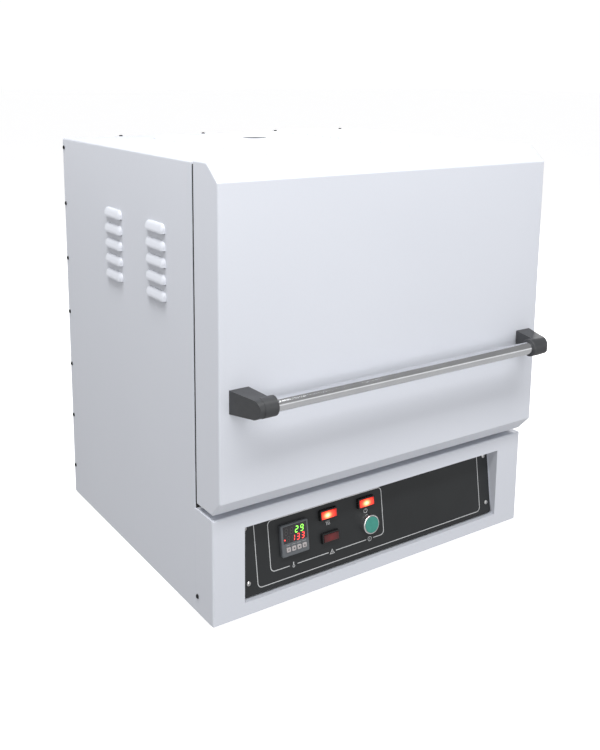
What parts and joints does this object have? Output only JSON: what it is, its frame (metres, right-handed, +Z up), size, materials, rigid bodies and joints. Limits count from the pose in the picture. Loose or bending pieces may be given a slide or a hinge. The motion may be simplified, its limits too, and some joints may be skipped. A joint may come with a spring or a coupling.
{
  "type": "bench-top box kiln",
  "caption": "Bench-top electric box kiln with a swing-up insulated door, bar handle, louvred steel case and a set-back control panel.",
  "frame": {"origin": "centre of the whole object's footprint, on the surface that the feet stand on", "axes": "+Z up, the door and the control panel face -Y, +X to the right seen from the front"},
  "size_m": [0.612, 0.614, 0.656],
  "materials": {
    "case_paint": "pale grey powder coat, fine texture",
    "plain_steel": "zinc-plated sheet and bar",
    "stove_black": "matt black heat-resisting paint",
    "black_screw": "black oxide",
    "bright_screw": "nickel-plated pan heads and pins",
    "rubber_foot": "moulded rubber",
    "panel_black": "satin black panel with a thin white frame",
    "controller_grey": "moulded grey bezel",
    "display_window": "smoked window with glowing digits",
    "controller_key": "soft pale keys",
    "lamp_black": "black lamp bezel",
    "lamp_red_lit": "lit red lens",
    "lamp_red_dark": "unlit red lens",
    "start_chrome": "chromed ring",
    "start_green": "green push cap",
    "black_plastic": "fine-grained black moulding",
    "bar_steel": "polished steel bar",
    "fibre": "vacuum-formed ceramic fibre, matt white",
    "fibre_board": "back-up insulation board",
    "hearth": "fired cordierite",
    "element_wire": "oxidised resistance wire",
    "seal_cord": "braided glass rope",
    "bush_bronze": "sintered bronze",
    "sink_aluminium": "extruded heat sink",
    "terminal_cream": "moulded terminal strip"
  },
  "bodies": {
    "case": {"top_cover": "case_paint", "left_side_panel": "case_paint", "right_side_panel": "case_paint", "back_panel": "case_paint", "plinth": "case_paint", "case_screws": "black_screw", "panel_screws": "bright_screw", "base_pan": "plain_steel", "feet": "rubber_foot", "front_fascia": "stove_black", "control_panel": "panel_black", "controller_case": "controller_grey", "controller_window": "display_window", "lamp_housings": "lamp_black", "power_lamp_lens": "lamp_red_lit", "heating_lamp_lens": "lamp_red_lit", "safety_lamp_lens": "lamp_red_dark", "start_bezel": "start_chrome", "start_contact_block": "black_plastic", "chamber_floor": "fibre", "chamber_roof": "fibre", "chamber_side_walls": "fibre", "chamber_back_wall": "fibre", "mouth_frame": "fibre", "hearth_plate": "hearth", "heating_elements": "element_wire", "insulation_boards": "fibre_board", "inner_casing": "plain_steel", "element_bushings": "hearth", "flue_tube": "hearth", "thermocouple": "plain_steel", "shelf": "plain_steel", "heat_sink": "sink_aluminium", "solid_state_relay": "black_plastic", "contactor": "black_plastic", "terminal_block": "terminal_cream", "door_sensor": "black_plastic", "cable_gland": "black_plastic", "arm_pivot_brackets": "plain_steel", "case_pivot_pins": "bright_screw"},
    "door": {"door_skin": "case_paint", "door_back_plate": "plain_steel", "door_insulation": "fibre_board", "door_plug": "fibre", "seal_rope": "seal_cord", "handle_bar": "bar_steel", "handle_brackets": "black_plastic", "handle_bolts": "bright_screw", "door_hinge_plates": "plain_steel", "door_upper_pins": "bright_screw"},
    "lower_arm_pair": {"lower_arms": "plain_steel", "lower_arm_bushes": "bush_bronze", "cross_shaft": "bright_screw"},
    "upper_arm_pair": {"upper_arms": "plain_steel", "upper_arm_bushes": "bush_bronze"},
    "start_button": {"start_cap": "start_green"},
    "key_1": {"controller_key_1": "controller_key"},
    "key_2": {"controller_key_2": "controller_key"},
    "key_3": {"controller_key_3": "controller_key"},
    "key_4": {"controller_key_4": "controller_key"}
  },
  "joints": [
    {"name": "lower_arm_swing", "type": "hinge", "parent": "case", "child": "lower_arm_pair", "pos_m": [0, 0.00299, 0.39399], "axis": [-1, 0, 0], "range_deg": [0, 85]},
    {"name": "upper_arm_swing", "type": "hinge", "parent": "case", "child": "upper_arm_pair", "pos_m": [0, 0.00299, 0.45399], "axis": [-1, 0, 0], "range_deg": [0, 85]},
    {"name": "door_swing", "type": "hinge", "parent": "lower_arm_pair", "child": "door", "pos_m": [0, -0.195, 0.196], "axis": [-1, 0, 0], "range_deg": [-85, 0]},
    {"name": "start_press", "type": "slide", "parent": "case", "child": "start_button", "axis": [0, 0.9893, -0.1461], "range_m": [0, 0.004], "stiffness_N_per_m": 400},
    {"name": "key_1_press", "type": "slide", "parent": "case", "child": "key_1", "axis": [0, 0.9893, -0.1461], "range_m": [0, 0.0006], "stiffness_N_per_m": 600},
    {"name": "key_2_press", "type": "slide", "parent": "case", "child": "key_2", "axis": [0, 0.9893, -0.1461], "range_m": [0, 0.0006], "stiffness_N_per_m": 600},
    {"name": "key_3_press", "type": "slide", "parent": "case", "child": "key_3", "axis": [0, 0.9893, -0.1461], "range_m": [0, 0.0006], "stiffness_N_per_m": 600},
    {"name": "key_4_press", "type": "slide", "parent": "case", "child": "key_4", "axis": [0, 0.9893, -0.1461], "range_m": [0, 0.0006], "stiffness_N_per_m": 600}
  ],
  "couplings": [
    {"joint": "upper_arm_swing", "follows": "lower_arm_swing", "ratio": 1},
    {"joint": "door_swing", "follows": "lower_arm_swing", "ratio": -1}
  ]
}
